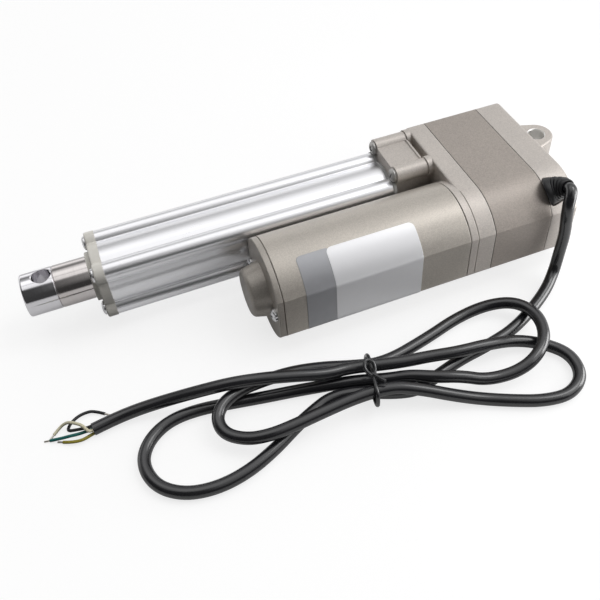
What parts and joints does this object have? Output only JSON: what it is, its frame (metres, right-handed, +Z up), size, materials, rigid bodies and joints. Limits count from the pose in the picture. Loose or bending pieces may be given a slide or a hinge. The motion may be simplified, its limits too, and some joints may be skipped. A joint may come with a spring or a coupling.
{
  "type": "electric linear actuator",
  "caption": "Electric linear actuator with a parallel motor, an extruded guide tube, a chromed rod, pivot holes at both ends and a bundled lead.",
  "frame": {"origin": "centre of the rear pivot hole", "axes": "+X from the rear pivot to the rod end, +Y from the rod axis to the motor, +Z up along both pivot holes, with the part lying on its side"},
  "size_m": [0.2662, 0.1406, 0.0497],
  "materials": {
    "cast_paint": "satin",
    "motor_paint": "satin",
    "anodised": "satin",
    "rod_chrome": "polished",
    "cap_plastic": "satin",
    "black_rubber": "satin",
    "cable_jacket": "glossy",
    "plated_steel": "polished",
    "steel": "satin",
    "bronze": "satin",
    "nylon": "satin",
    "copper": "satin",
    "ferrite": "matte",
    "carbon": "matte",
    "phenolic": "matte",
    "wire_insulation": "glossy"
  },
  "bodies": {
    "housing": {"rear_cover": "cast_paint", "gear_housing": "cast_paint", "front_housing": "cast_paint", "rear_gasket": "black_rubber", "front_gasket": "black_rubber", "motor_gasket": "black_rubber", "tube_gasket": "cap_plastic", "housing_screws": "plated_steel", "rear_cover_screws": "plated_steel", "outer_tube": "anodised", "tube_screws": "plated_steel", "front_cap": "cap_plastic", "rod_wiper": "black_rubber", "rod_guide_bush": "bronze", "cap_screws": "plated_steel", "bearing_outer_ring": "steel", "bearing_retainer": "steel", "idler_axle": "steel", "motor_casing": "motor_paint", "motor_end_cap": "cast_paint", "motor_bolts": "plated_steel", "motor_end_bush": "bronze", "motor_front_bush": "bronze", "motor_magnets": "ferrite", "brush_holder": "phenolic", "motor_brushes": "carbon", "cable_gland": "black_rubber", "cable": "cable_jacket", "cable_wires": "wire_insulation", "cable_tie": "cable_jacket"},
    "armature": {"motor_shaft": "steel", "armature_core": "steel", "armature_winding": "copper", "commutator": "copper", "motor_pinion": "steel"},
    "idler": {"idler_gear": "nylon"},
    "screw": {"lead_screw": "steel", "screw_gear": "nylon", "lock_nut": "steel", "bearing_inner_ring": "steel"},
    "rod": {"piston_rod": "rod_chrome", "rod_end": "rod_chrome", "drive_nut": "nylon"}
  },
  "joints": [
    {"name": "armature_spin", "type": "hinge", "parent": "housing", "child": "armature", "pos_m": [0.11, 0.0369, 0], "axis": [1, 0, 0], "range_deg": [0, 90000]},
    {"name": "idler_spin", "type": "hinge", "parent": "housing", "child": "idler", "pos_m": [0.04, 0.0185, 0], "axis": [1, 0, 0], "range_deg": [-25001, 1]},
    {"name": "screw_spin", "type": "hinge", "parent": "housing", "child": "screw", "pos_m": [0.06, 0, 0], "axis": [1, 0, 0], "range_deg": [-1, 12001]},
    {"name": "rod_slide", "type": "slide", "parent": "housing", "child": "rod", "axis": [1, 0, 0], "range_m": [0, 0.1]}
  ],
  "couplings": [
    {"joint": "idler_spin", "follows": "armature_spin", "ratio": -0.27778},
    {"joint": "screw_spin", "follows": "armature_spin", "ratio": 0.13333},
    {"joint": "rod_slide", "follows": "armature_spin", "m_per_rad": 0.000063662}
  ]
}
